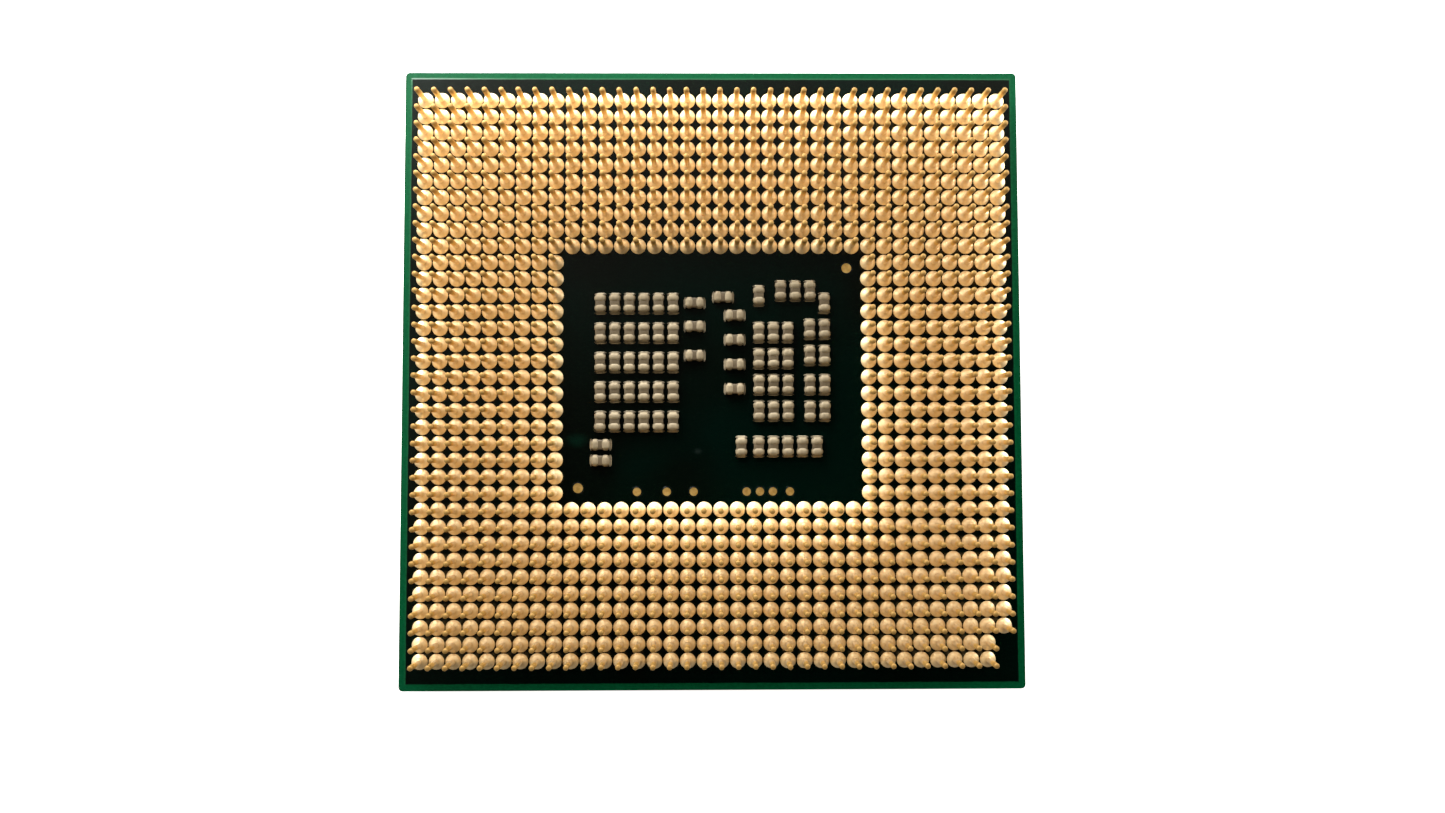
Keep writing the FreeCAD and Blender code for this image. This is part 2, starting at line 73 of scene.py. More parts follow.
PIN_PITCH = 1.0 * MM
BANKS = ("north", "south", "west", "east")
CAPACITOR_BANKS = ("west", "centre", "east", "south")
DIES = ("processor", "graphics")

# The pin-side face of the mask: the pins, domes and capacitors stand on it.
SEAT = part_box("solder_mask_pin_side")[1].z
HALF_SIDE = CAD_HIGH.x
COPPER_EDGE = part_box("copper_plane_pin_side")[1].x

# ---------------------------------------------------------------------------
# Mesh helpers
# ---------------------------------------------------------------------------


class Shape:
    """Vertices and faces of one piece, gathered from many closed parts."""

    def __init__(self):
        self.vertices = []
        self.faces = []
        self.tones = []

    def add(self, vertices, faces, place=None, tone=0.5):
        """Add a closed part, moved by place, with one tone for the variation of its colour."""
        first = len(self.vertices)
        for vertex in vertices:
            self.vertices.append(place(vertex) if place else vertex)
        for face in faces:
            self.faces.append([first + i for i in face])
        self.tones.extend([tone] * len(vertices))

    def piece(self, name, material, smooth_angle=35):
        """The Blender object made of everything added so far."""
        mesh = bpy.data.meshes.new(name)
        mesh.from_pydata([tuple(v) for v in self.vertices], [], self.faces)
        tone = mesh.attributes.new("tone", "FLOAT", "POINT")
        tone.data.foreach_set("value", self.tones)
        mesh.shade_smooth()
        mesh.set_sharp_from_angle(angle=math.radians(smooth_angle))
        mesh.materials.append(material)
        made = bpy.data.objects.new(name, mesh)
        bpy.context.scene.collection.objects.link(made)
        return made


def stand_for(piece, slot, node):
    """A piece rides on the package and replaces a CAD node. The slot is not used."""
    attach(piece, "root")
    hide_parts(node)


def turned(profile, segments):
    """A full turn of (radius, height) points, bottom first, closed with a point at each end."""
    vertices = [Vector((0, 0, profile[0][1]))]
    for radius, height in profile:
        for i in range(segments):
            angle = TURN * i / segments
            vertices.append(Vector((radius * math.cos(angle), radius * math.sin(angle), height)))
    vertices.append(Vector((0, 0, profile[-1][1])))
    top = len(vertices) - 1
    faces = []
    for i in range(segments):
        after = (i + 1) % segments
        faces.append([0, 1 + after, 1 + i])
        for ring in range(len(profile) - 1):
            low = 1 + ring * segments
            high = low + segments
            faces.append([low + i, low + after, high + after, high + i])
        last = 1 + (len(profile) - 1) * segments
        faces.append([last + i, last + after, top])
    return vertices, faces


def arc(centre, radius, start, end, steps):
    """Points (across, up) on an arc between two angles in degrees."""
    points = []
    for i in range(steps + 1):
        angle = math.radians(start + (end - start) * i / steps)
        points.append((centre[0] + radius * math.cos(angle), centre[1] + radius * math.sin(angle)))
    return points


def circle(centre, radius, segments):
    """Points round a circle, anticlockwise."""
    angles = [TURN * i / segments for i in range(segments)]
    return [(centre[0] + radius * math.cos(a), centre[1] + radius * math.sin(a)) for a in angles]


def at_height(outline, z):
    """An outline as a ring of points at one height."""
    return [(x, y, z) for x, y in outline]


def rounded_box(size, radius, segments=3):
    """A box of this size about the origin with every edge rounded."""
    grid = bmesh.new()
    bmesh.ops.create_cube(grid, size=1.0)
    for vertex in grid.verts:
        vertex.co = Vector((vertex.co.x * size[0], vertex.co.y * size[1], vertex.co.z * size[2]))
    bmesh.ops.bevel(
        grid, geom=list(grid.edges), offset=radius, segments=segments, profile=0.5, affect="EDGES"
    )
    grid.verts.index_update()
    vertices = [vertex.co.copy() for vertex in grid.verts]
    faces = [[vertex.index for vertex in face.verts] for face in grid.faces]
    grid.free()
    return vertices, faces


def rounded_outline(half_x, half_y, radius, segments=6):
    """Corner-rounded rectangle about the origin, anticlockwise."""
    points = []
    corners = ((1, 1, 0), (-1, 1, 90), (-1, -1, 180), (1, -1, 270))
    for sign_x, sign_y, start in corners:
        centre = (sign_x * (half_x - radius), sign_y * (half_y - radius))
        points.extend(arc(centre, radius, start, start + 90, segments))
    return points


def lofted(rings):
    """A closed shape through rings of equal length, bottom first. Each ring is a list of points."""
    count = len(rings[0])
    vertices = [Vector(point) for ring in rings for point in ring]
    faces = [list(reversed(range(count)))]
    for ring in range(len(rings) - 1):
        low = ring * count
        high = low + count
        for i in range(count):
            after = (i + 1) % count
            faces.append([low + i, low + after, high + after, high + i])
    faces.append([(len(rings) - 1) * count + i for i in range(count)])
    return vertices, faces


def tube(rings):
    """A closed tube: rings of equal length, each joined to the next and the last to the first."""
    count = len(rings[0])
    vertices = [Vector(point) for ring in rings for point in ring]
    faces = []
    for ring in range(len(rings)):
        low = ring * count
        high = (ring + 1) % len(rings) * count
        for i in range(count):
            after = (i + 1) % count
            faces.append([low + i, low + after, high + after, high + i])
    return vertices, faces


def turned_ring(profile, segments):
    """A full turn of a closed section of (radius, height) points, anticlockwise in the section."""
    return tube([at_height(circle((0, 0), radius, segments), z) for radius, z in profile])


def pierced_sheet(outline, holes, low, high):
    """A flat sheet with holes. The outline and the holes are anticlockwise."""
    grid = bmesh.new()
    loops = []
    for loop in (outline, *holes):
        made = [grid.verts.new((x, y, high)) for x, y in loop]
        for i, vertex in enumerate(made):
            grid.edges.new((vertex, made[(i + 1) % len(made)]))
        loops.append(made)
    bmesh.ops.triangle_fill(grid, use_beauty=True, edges=list(grid.edges), normal=(0, 0, 1))
    grid.verts.index_update()
    grid.normal_update()
    count = len(grid.verts)
    vertices = [vertex.co.copy() for vertex in grid.verts]
    vertices.extend([Vector((v.x, v.y, low)) for v in vertices])
    faces = []
    for face in grid.faces:
        corners = [vertex.index for vertex in face.verts]
        if face.normal.z < 0:
            corners.reverse()
        faces.append(corners)
        faces.append([count + i for i in reversed(corners)])
    for number, loop in enumerate(loops):
        ring = [vertex.index for vertex in loop]
        for here, after in zip(ring, ring[1:] + ring[:1]):
            wall = [count + here, count + after, after, here]
            faces.append(wall if number == 0 else list(reversed(wall)))
    grid.free()
    return vertices, faces


# Vertices of a CAD mesh that are closer than this are one.
SAME_POINT = 0.001 * MM


def solids(node):
    """Lowest and highest corner of each separate solid in a CAD node."""
    grid = bmesh.new()
    grid.from_mesh(CAD_NODES[node].data)
    bmesh.ops.remove_doubles(grid, verts=grid.verts, dist=SAME_POINT)
    found = []
    unseen = set(grid.verts)
    while unseen:
        reached = [unseen.pop()]
        for vertex in reached:
            for edge in vertex.link_edges:
                other = edge.other_vert(vertex)
                if other in unseen:
                    unseen.remove(other)
                    reached.append(other)
        low = Vector(min(v.co[i] for v in reached) for i in range(3))
        high = Vector(max(v.co[i] for v in reached) for i in range(3))
        found.append((low, high))
    grid.free()
    return sorted(found, key=lambda box: (round(box[0].y, 6), round(box[0].x, 6)))


def bank_radius(node):
    """Radius of the round solids in a bank of pins or domes: what its width has over the pitch."""
    low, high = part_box(node)
    return (high.x - low.x) % PIN_PITCH / 2


def grid_places(node):
    """Centres of the round solids that a bank of pins or domes has on its pitch, row by row."""
    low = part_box(node)[0]
    radius = bank_radius(node)
    first = Vector((low.x + radius, low.y + radius))
    cells = set()
    for vertex in CAD_NODES[node].data.vertices:
        column = round((vertex.co.x - first.x) / PIN_PITCH)
        row = round((vertex.co.y - first.y) / PIN_PITCH)
        cells.add((row, column))
    return [
        (first.x + column * PIN_PITCH, first.y + row * PIN_PITCH) for row, column in sorted(cells)
    ]


# ---------------------------------------------------------------------------
# Material helpers
# ---------------------------------------------------------------------------

WHITE = (1.0, 1.0, 1.0)
BLACK = (0.0, 0.0, 0.0)
# Nearly all of a noise lies between these.
NOISE_LOW, NOISE_HIGH = 0.3, 0.7
# How far the edge of a mark on the mask wanders, in millimetres.
MARK_RAGGEDNESS = 0.4


class NodeTree:
    """Shader nodes, added one at a time to the tree of a material or of the world."""

    def __init__(self, tree):
        self.nodes = tree.nodes
        self.links = tree.links

    def node(self, kind, inputs=(), **settings):
        """A new node. inputs pairs a socket's name or number with a value or another output."""
        made = self.nodes.new(kind)
        for name, value in settings.items():
            setattr(made, name, value)
        for socket, value in inputs:
            self.join(value, made.inputs[socket])
        return made

    def join(self, value, socket):
        """Link an output to a socket, or set the socket's own value."""
        if isinstance(value, bpy.types.NodeSocket):
            self.links.new(value, socket)
        else:
            socket.default_value = value

    def math(self, operation, first, second=0.0):
        """Arithmetic on values or outputs."""
        inputs = [(0, first), (1, second)]
        return self.node("ShaderNodeMath", inputs, operation=operation).outputs[0]

    def ramp(self, value, *stops):
        """A colour ramp from (position, colour) stops."""
        made = self.node("ShaderNodeValToRGB", [("Fac", value)])
        elements = made.color_ramp.elements
        while len(elements) < len(stops):
            elements.new(1.0)
        for element, (position, colour) in zip(elements, stops):
            element.position = position
            element.color = (*colour, 1.0)
        return made.outputs["Color"]

    def blend(self, amount, first, second, mode="MIX"):
        """Mix two colours, each a colour or an output."""
        made = self.node("ShaderNodeMix", data_type="RGBA", blend_type=mode)
        self.join(amount, made.inputs["Factor"])
        for socket, colour in (("A", first), ("B", second)):
            value = (*colour, 1.0) if isinstance(colour, tuple) else colour
            self.join(value, next(s for s in made.inputs if s.name == socket and s.type == "RGBA"))
        return next(s for s in made.outputs if s.type == "RGBA")


class Surface(NodeTree):
    """A procedural material on one principled shader. Its patterns are in millimetres."""

    def __init__(self, name):
        self.material = bpy.data.materials.new(name)
        self.material.use_nodes = True
        super().__init__(self.material.node_tree)
        self.shader = self.nodes["Principled BSDF"]
        self.place = self.scaled(1, 1, 1)

    def scaled(self, x, y, z):
        """Object coordinates in millimetres, times a stretch along each axis."""
        coordinates = self.node("ShaderNodeTexCoord").outputs["Object"]
        scale = (x / MM, y / MM, z / MM)
        mapping = self.node("ShaderNodeMapping", [("Vector", coordinates), ("Scale", scale)])
        return mapping.outputs["Vector"]

    def noise(self, per_mm, detail=3.0, roughness=0.55, place=None):
        """Smooth noise with this many features to the millimetre."""
        inputs = [
            ("Vector", place or self.place),
            ("Scale", per_mm),
            ("Detail", detail),
            ("Roughness", roughness),
        ]
        return self.node("ShaderNodeTexNoise", inputs).outputs["Fac"]

    def cells(self, per_mm):
        """Distance to scattered points, for specks and grains."""
        inputs = [("Vector", self.place), ("Scale", per_mm)]
        return self.node("ShaderNodeTexVoronoi", inputs, feature="F1").outputs["Distance"]

    def waves(self, per_mm, distortion, **settings):
        """Parallel bands or rings, a little bent."""
        inputs = [("Vector", self.place), ("Scale", per_mm), ("Distortion", distortion)]
        return self.node("ShaderNodeTexWave", inputs, **settings).outputs["Fac"]

    def axis(self, name):
        """One of the object coordinates, in millimetres."""
        inputs = [("Vector", self.place)]
        return self.node("ShaderNodeSeparateXYZ", inputs).outputs[name]

    def tone(self):
        """The tone of the part, between 0 and 1, from its mesh."""
        return self.node("ShaderNodeAttribute", attribute_name="tone").outputs["Fac"]

    def fade(self, value, low, high, to_low=0.0, to_high=1.0):
        """Map a value from low..high to another range, smoothly and clamped."""
        inputs = [(0, value), (1, low), (2, high), (3, to_low), (4, to_high)]
        made = self.node("ShaderNodeMapRange", inputs, interpolation_type="SMOOTHSTEP")
        return made.outputs[0]

    def varied(self, noise, at_low, at_high):
        """A value that follows a noise from one end of its range to the other."""
        return self.fade(noise, NOISE_LOW, NOISE_HIGH, at_low, at_high)

    def mark(self, centre, stretch, inner, outer):
        """One inside a spot on the seat and nothing outside it, with a ragged edge between."""
        spot = (centre[0], centre[1] * stretch, SEAT / MM)
        inputs = [(0, self.scaled(1, stretch, 1)), (1, spot)]
        away = self.node("ShaderNodeVectorMath", inputs, operation="DISTANCE").outputs["Value"]
        ragged = self.math("ADD", away, self.math("MULTIPLY", self.noise(2.0), MARK_RAGGEDNESS))
        return self.fade(ragged, inner, outer, 1.0, 0.0)

    def bump(self, height, depth_mm, strength, under=None):
        """A relief of this depth on the surface, over another one if given."""
        inputs = [("Strength", strength), ("Distance", depth_mm * MM), ("Height", height)]
        if under is not None:
            inputs.append(("Normal", under))
        return self.node("ShaderNodeBump", inputs).outputs["Normal"]

    def finish(self, **sockets):
        """The material, with the shader's sockets set or linked. Underscores stand for spaces."""
        for name, value in sockets.items():
            self.join(value, self.shader.inputs[name.replace("_", " ")])
        return self.material


# ---------------------------------------------------------------------------
# Materials
# ---------------------------------------------------------------------------

# In millimetres: the heights over the seat between which a shank's paler foot fades off, partly the
# tint of solder and partly painted light over its shade near the dome, and the depths under the
# tips between which the browner end comes in, which is painted shade.
SOLDER_TINT_AND_PAINTED_LIGHT_FADES = (0.9, 1.5)
DARK_END_GROWS = (0.80, 0.15)


def gold_pin_material():
    """Gold plating on a drawn shank: paler low down, partly solder's tint and partly painted light,
    and browner towards the end, which is painted shade.
    """
    s = Surface("gold_pin")
    lines = s.noise(14.0, 2.0, place=s.scaled(1, 1, 0.06))
    wear = s.noise(5.0, 4.0)
    height = s.math("ADD", s.axis("Z"), s.math("MULTIPLY", s.noise(1.5, 1.0), 0.4))
    seat = SEAT / MM
    tip = CAD_HIGH.z / MM
    # Paler low on the shank: partly the tint of solder that climbs it, partly painted light over
    # its shade near the dome.
    solder_tint_and_painted_light = s.fade(height, seat + SOLDER_TINT_AND_PAINTED_LIGHT_FADES[0], seat + SOLDER_TINT_AND_PAINTED_LIGHT_FADES[1], 1.0, 0.0)
    end = s.fade(s.axis("Z"), tip - DARK_END_GROWS[0], tip - DARK_END_GROWS[1])
    plating = s.ramp(s.tone(), (0.0, (0.74, 0.47, 0.13)), (1.0, (0.83, 0.55, 0.17)))
    worn = s.ramp(wear, (0.30, (0.80, 0.66, 0.48)), (0.48, WHITE))
    gold = s.blend(0.4, plating, worn, "MULTIPLY")
    # Browner and darker towards the tip: painted shade, standing in for the dark overhead that the
    # end reflects.
    rubbed = s.blend(s.math("MULTIPLY", end, 0.9), gold, (0.29, 0.165, 0.042))
    shank_roughness = s.varied(wear, 0.50, 0.40)
    return s.finish(
        Base_Color=s.blend(solder_tint_and_painted_light, rubbed, (0.93, 0.75, 0.48)),
        Metallic=0.5,
        Roughness=s.math("ADD", shank_roughness, s.math("MULTIPLY", end, 0.10)),
        Normal=s.bump(lines, 0.002, 0.5, s.bump(wear, 0.003, 0.4)),
    )


# Heights over the seat, in millimetres, between which a dome turns brown towards its shank: painted
# shade in the crease round the shank.
ROOT_SHADE_GROWS = (0.17, 0.23)


def gold_tinted_solder_material():
    """Reflowed solder that has taken up gold: pale and smooth, with painted shade browning it at
    the foot of the shank.
    """
    s = Surface("gold_tinted_solder")
    cloud = s.noise(2.2, 3.0)
    grain = s.noise(16.0, 3.0)
    height = s.math("SUBTRACT", s.axis("Z"), SEAT / MM)
    # Painted shade: a brown that darkens the dome towards the crease round its shank.
    root = s.fade(height, *ROOT_SHADE_GROWS)
    skin = s.ramp(s.tone(), (0.0, (0.92, 0.70, 0.39)), (1.0, (0.99, 0.78, 0.465)))
    patches = s.ramp(cloud, (0.35, (0.95, 0.92, 0.87)), (0.65, WHITE))
    clean = s.blend(1.0, skin, patches, "MULTIPLY")
    colour = s.blend(s.math("MULTIPLY", root, 0.35), clean, (0.60, 0.40, 0.21))
    return s.finish(
        Base_Color=colour,
        Metallic=0.6,
        Roughness=s.varied(cloud, 0.44, 0.50),
        Coat_Weight=0.3,
        Coat_Roughness=0.25,
        Normal=s.bump(grain, 0.001, 0.1, s.bump(cloud, 0.003, 0.15)),
    )


# In millimetres: how far the copper's edge seems to wander under the mask, and how far outside it
# the bright border starts and is complete.
EDGE_WANDER = 0.05
BORDER_GROWS = (-0.03, 0.04)
# Two faint marks on the mask in the cavity: the middle of each in millimetres, and how many times
# longer it is along X than along Y.
THIN_COPPER, THIN_COPPER_STRETCH = (-8.2, -3.8), 1.5
GREY_OVAL, GREY_OVAL_STRETCH = (-0.9, -4.5), 1.4


def solder_mask_material():
    """Dark green mask: nearly black over copper, bright green over bare resin at the edge."""
    s = Surface("solder_mask")
    across = s.math("ABSOLUTE", s.axis("X"))
    along = s.math("ABSOLUTE", s.axis("Y"))
    reach = s.math("MAXIMUM", across, along)
    wander = s.math("MULTIPLY", s.math("SUBTRACT", s.noise(1.2, 2.0), 0.5), EDGE_WANDER)
    edge = COPPER_EDGE / MM
    wavy_reach = s.math("ADD", reach, wander)
    border = s.fade(wavy_reach, edge + BORDER_GROWS[0], edge + BORDER_GROWS[1])
    pour = s.noise(0.16, 2.0, 0.4)
    grain = s.noise(9.0, 4.0)
    over_copper = s.ramp(pour, (0.40, (0.0006, 0.0020, 0.0012)), (0.60, (0.0002, 0.0036, 0.0024)))
    over_resin = s.ramp(grain, (0.35, (0.0004, 0.056, 0.020)), (0.65, (0.0012, 0.076, 0.028)))
    thin = s.mark(THIN_COPPER, THIN_COPPER_STRETCH, 0.25, 1.1)
    # A faint grey oval, almost straight under the camera.
    grey_oval = s.mark(GREY_OVAL, GREY_OVAL_STRETCH, 0.15, 0.55)
    marked = s.blend(s.math("MULTIPLY", thin, 0.30), over_copper, (0.002, 0.030, 0.018))
    marked = s.blend(s.math("MULTIPLY", grey_oval, 0.30), marked, (0.020, 0.030, 0.028))
    weave = s.math("MULTIPLY", s.waves(0.62, 0.4), s.noise(2.5))
    relief = s.bump(weave, 0.0015, 0.35, s.bump(grain, 0.0008, 0.5))
    return s.finish(
        Base_Color=s.blend(border, marked, over_resin),
        Roughness=s.varied(grain, 0.10, 0.16),
        Normal=relief,
        IOR=1.48,
    )


def core_laminate_material():
    """Cut edge of glass-fibre laminate: yellow-green resin with pale bundles of fibre."""
    s = Surface("core_laminate")
    plies = s.waves(1.6, 1.5, bands_direction="Z")
    bundles = s.noise(3.0, 3.0, place=s.scaled(0.5, 0.5, 4.0))
    fibres = s.noise(30.0, 2.0, place=s.scaled(0.2, 0.2, 1.0))
    body = s.ramp(bundles, (0.35, (0.055, 0.095, 0.035)), (0.65, (0.15, 0.19, 0.08)))
    lines = s.ramp(plies, (0.2, (0.55, 0.60, 0.45)), (0.8, WHITE))
    return s.finish(
        Base_Color=s.blend(0.8, body, lines, "MULTIPLY"),
        Roughness=s.varied(fibres, 0.5, 0.75),
        Normal=s.bump(fibres, 0.02, 0.8, s.bump(plies, 0.015, 0.6)),
    )


def buildup_resin_material():
    """Cut edge of the thin resin films: green, with the lines between the films."""
    s = Surface("buildup_resin")
    films = s.waves(5.0, 0.6, bands_direction="Z")
    grain = s.noise(12.0, 3.0)
    body = s.ramp(grain, (0.3, (0.010, 0.090, 0.040)), (0.7, (0.035, 0.200, 0.095)))
    lines = s.ramp(films, (0.1, (0.45, 0.5, 0.4)), (0.5, WHITE))
    return s.finish(
        Base_Color=s.blend(0.7, body, lines, "MULTIPLY"),
        Roughness=s.varied(grain, 0.40, 0.60),
        Normal=s.bump(grain, 0.008, 0.6, s.bump(films, 0.006, 0.6)),
    )


def copper_material():
    """Rolled foil with fine lines and a little tarnish."""
    s = Surface("copper")
    lines = s.noise(20.0, 2.0, place=s.scaled(0.05, 1, 1))
    tarnish = s.noise(0.6, 4.0)
    colour = s.ramp(tarnish, (0.35, (0.36, 0.14, 0.07)), (0.6, (0.84, 0.42, 0.24)))
    return s.finish(
        Base_Color=colour,
        Metallic=1.0,
        Roughness=s.varied(tarnish, 0.5, 0.3),
        Normal=s.bump(lines, 0.004, 0.5),
    )


def gold_pad_material():
    """Flat gold plating with a fine matt grain and light rubbed marks."""
    s = Surface("gold_pad")
    grain = s.noise(26.0, 3.0)
    rubbed = s.noise(4.0, 3.0)
    colour = s.ramp(rubbed, (0.35, (0.74, 0.45, 0.12)), (0.65, (0.93, 0.64, 0.22)))
    return s.finish(
        Base_Color=colour,
        Metallic=1.0,
        Roughness=s.varied(grain, 0.36, 0.48),
        Normal=s.bump(grain, 0.003, 0.7, s.bump(rubbed, 0.006, 0.5)),
    )


def capacitor_ceramic_material():
    """Sintered ceramic: olive-brown and satin, with fine grains and specks."""
    s = Surface("capacitor_ceramic")
    grain = s.noise(22.0, 4.0)
    specks = s.cells(14.0)
    body = s.ramp(s.tone(), (0.0, (0.105, 0.078, 0.042)), (1.0, (0.140, 0.106, 0.060)))
    shade = s.ramp(grain, (0.3, (0.62, 0.58, 0.55)), (0.7, WHITE))
    fine = s.blend(0.8, body, shade, "MULTIPLY")
    return s.finish(
        Base_Color=s.blend(s.fade(specks, 0.10, 0.22, 0.5, 0.0), fine, (0.05, 0.028, 0.02)),
        Roughness=s.varied(grain, 0.38, 0.55),
        Normal=s.bump(grain, 0.006, 0.7),
    )


def tin_plating_material():
    """Matt tin over the ends: warm beige-grey, with a crystalline grain."""
    s = Surface("tin_plating")
    grain = s.cells(18.0)
    cloud = s.noise(6.0, 4.0)
    body = s.ramp(s.tone(), (0.0, (0.29, 0.235, 0.148)), (1.0, (0.35, 0.290, 0.188)))
    shade = s.ramp(cloud, (0.3, (0.72, 0.70, 0.68)), (0.7, WHITE))
    return s.finish(
        Base_Color=s.blend(0.9, body, shade, "MULTIPLY"),
        Metallic=0.2,
        Roughness=s.varied(cloud, 0.55, 0.68),
        Normal=s.bump(grain, 0.004, 0.5, s.bump(cloud, 0.010, 0.5)),
    )


def solder_material():
    """Reflowed solder: warm grey and fairly bright, with shallow ripples."""
    s = Surface("solder")
    ripple = s.noise(7.0, 2.0)
    grain = s.noise(30.0, 3.0)
    body = s.ramp(ripple, (0.3, (0.30, 0.25, 0.17)), (0.7, (0.44, 0.37, 0.26)))
    return s.finish(
        Base_Color=body,
        Metallic=0.6,
        Roughness=s.varied(grain, 0.25, 0.42),
        Normal=s.bump(grain, 0.004, 0.5, s.bump(ripple, 0.03, 0.6)),
    )


def silicon_material():
    """Polished silicon: dark and mirror-like, with faint grinding arcs."""
    s = Surface("silicon")
    arcs = s.waves(2.2, 0.8, wave_type="RINGS")
    cloud = s.noise(0.5, 3.0)
    colour = s.ramp(cloud, (0.3, (0.012, 0.014, 0.019)), (0.7, (0.026, 0.027, 0.036)))
    return s.finish(
        Base_Color=colour,
        Roughness=s.varied(cloud, 0.06, 0.12),
        Normal=s.bump(arcs, 0.0006, 0.4),
        IOR=3.4,
    )


def underfill_resin_material():
    """Cured epoxy full of fine filler: dark grey-blue and satin."""
    s = Surface("underfill_resin")
    filler = s.cells(26.0)
    flow = s.noise(1.4, 3.0)
    body = s.ramp(flow, (0.3, (0.012, 0.015, 0.020)), (0.7, (0.030, 0.034, 0.042)))
    return s.finish(
        Base_Color=s.blend(s.fade(filler, 0.08, 0.18, 0.35, 0.0), body, (0.12, 0.12, 0.12)),
        Roughness=s.varied(flow, 0.30, 0.48),
        Normal=s.bump(filler, 0.003, 0.4, s.bump(flow, 0.03, 0.5)),
    )


def floor_material():
    """Plain pale paper that glows a little, so that it stays pale under the small lights."""
    s = Surface("paper")
    fibre = s.noise(2.0, 4.0)
    return s.finish(
        Base_Color=s.ramp(fibre, (0.3, (0.86, 0.86, 0.86)), (0.7, (0.90, 0.90, 0.90))),
        Emission_Color=(*WHITE, 1.0),
        Emission_Strength=0.9,
        Roughness=0.9,
        Normal=s.bump(fibre, 0.01, 0.3),
    )


MATERIALS = {
    "gold_pin": gold_pin_material(),
    "gold_tinted_solder": gold_tinted_solder_material(),
    "solder_mask": solder_mask_material(),
    "core_laminate": core_laminate_material(),
    "buildup_resin": buildup_resin_material(),
    "copper": copper_material(),
    "gold_pad": gold_pad_material(),
    "capacitor_ceramic": capacitor_ceramic_material(),
    "tin_plating": tin_plating_material(),
    "solder": solder_material(),
    "silicon": silicon_material(),
    "underfill_resin": underfill_resin_material(),
}

# ---------------------------------------------------------------------------
# Pins and the domes of solder at their feet
# ---------------------------------------------------------------------------

PIN_SEGMENTS = 20
# The most that a pin's tip may lean along an axis, and that a pin may be short.
PIN_LEAN = 0.012 * MM
PIN_SHORTER = 0.02 * MM
# How far over the seat a shank starts, out of sight in its dome.
PIN_FOOT = 0.05 * MM
# The end of a pin: a rolled shoulder, then a slight crown that is flat over a share of the radius.
SHOULDER_RADIUS = 0.07 * MM
CROWN_HEIGHT = 0.012 * MM
CROWN_FLAT = 0.35


def pin_profile(radius, low, high):
    """A shank with a rolled shoulder and a slight crown on its end."""
    rolled_from = high - SHOULDER_RADIUS - CROWN_HEIGHT
    points = [(radius, low), (radius, (low + high) / 2), (radius, rolled_from)]
    rolled = arc((radius - SHOULDER_RADIUS, rolled_from), SHOULDER_RADIUS, 0, 90, 4)
    points.extend(rolled[1:])
    points.append((CROWN_FLAT * radius, high))
    return points


def build_pins(bank):
    """The pins of one bank, each with its own slight lean and length."""
    node = f"pins_{bank}"
    foot = SEAT + PIN_FOOT
    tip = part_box(node)[1].z
    length = tip - foot
    vertices, faces = turned(pin_profile(bank_radius(node), foot, tip), PIN_SEGMENTS)
    chance = random.Random(f"pins {bank}")
    shape = Shape()
    for x, y in grid_places(node):
        lean = Vector((chance.uniform(-1, 1), chance.uniform(-1, 1))) * PIN_LEAN
        stretch = 1 - chance.random() ** 2 * PIN_SHORTER / length

        def place(point):
            up = (point.z - foot) / length
            return (
                point.x + x + lean.x * up,
                point.y + y + lean.y * up,
                foot + (point.z - foot) * stretch,
            )

        shape.add(vertices, faces, place, chance.random())
    stand_for(shape.piece(f"gold_pins_{bank}", MATERIALS["gold_pin"]), "gold_pin", node)


DOME_SEGMENTS = 24
DOME_STEPS = 6
# The least width and height of a dome as shares of the CAD's, and the most that one side sags in.
DOME_NARROWEST = 0.975
DOME_LOWEST = 0.96
DOME_SLUMP = 0.02
# The collar: how far out of the shank it starts, how far it climbs, and the points of its concave
# section, each as the distance out of the shank's surface and the share of the climb.
COLLAR_WIDTH = 0.055 * MM
COLLAR_CLIMB = 0.045 * MM
COLLAR_SECTION = ((0.03 * MM, 0.10), (0.012 * MM, 0.38), (0.001 * MM, 1.0), (-0.02 * MM, 1.0))


def dome_profile(radius, pin_radius, top):
    """The cap of a ball on a flat foot, with a concave collar where it wets the shank."""
    depth = (radius**2 - pin_radius**2 - top**2) / (2 * top)
    ball_radius = math.hypot(radius, depth)
    start = math.degrees(math.asin(depth / ball_radius))
    end = math.degrees(math.acos((pin_radius + COLLAR_WIDTH) / ball_radius))
    ball = arc((0, -depth), ball_radius, start, end, DOME_STEPS)
    lip = ball[-1][1]
    collar = [(pin_radius + out, lip + share * COLLAR_CLIMB) for out, share in COLLAR_SECTION]
    return [*ball, *collar]


def build_domes(bank):
    """The solder domes of one bank, each a little uneven."""
    node = f"pin_joints_{bank}"
    low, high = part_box(node)
    profile = dome_profile(bank_radius(node), bank_radius(f"pins_{bank}"), high.z - low.z)
    vertices, faces = turned(profile, DOME_SEGMENTS)
    chance = random.Random(f"domes {bank}")
    shape = Shape()
    for x, y in grid_places(node):
        wide = chance.uniform(DOME_NARROWEST, 1.0)
        deep = chance.uniform(DOME_NARROWEST, 1.0)
        tall = chance.uniform(DOME_LOWEST, 1.0)
        skew = chance.uniform(0, TURN)
        slump = chance.uniform(0, DOME_SLUMP)

        def place(point):
            swell = 1 - slump * (0.5 + 0.5 * math.cos(math.atan2(point.y, point.x) - skew))
            return (
                x + point.x * wide * swell,
                y + point.y * deep * swell,
                low.z + point.z * tall,
            )

        shape.add(vertices, faces, place, chance.random())
    piece = shape.piece(f"solder_domes_{bank}", MATERIALS["gold_tinted_solder"])
    stand_for(piece, "gold_tinted_solder", node)


for bank in BANKS:
    build_pins(bank)
    build_domes(bank)

# ---------------------------------------------------------------------------
# Capacitors
# ---------------------------------------------------------------------------

# The most that a capacitor is turned from its place.
CAPACITOR_SPIN = math.radians(1.4)
# How far each end cap laps over the ceramic, and the rounding of its edges.
CAP_LAP = 0.16 * MM
CAP_ROUNDING = 0.24 * MM
CAP_ROUNDING_STEPS = 7
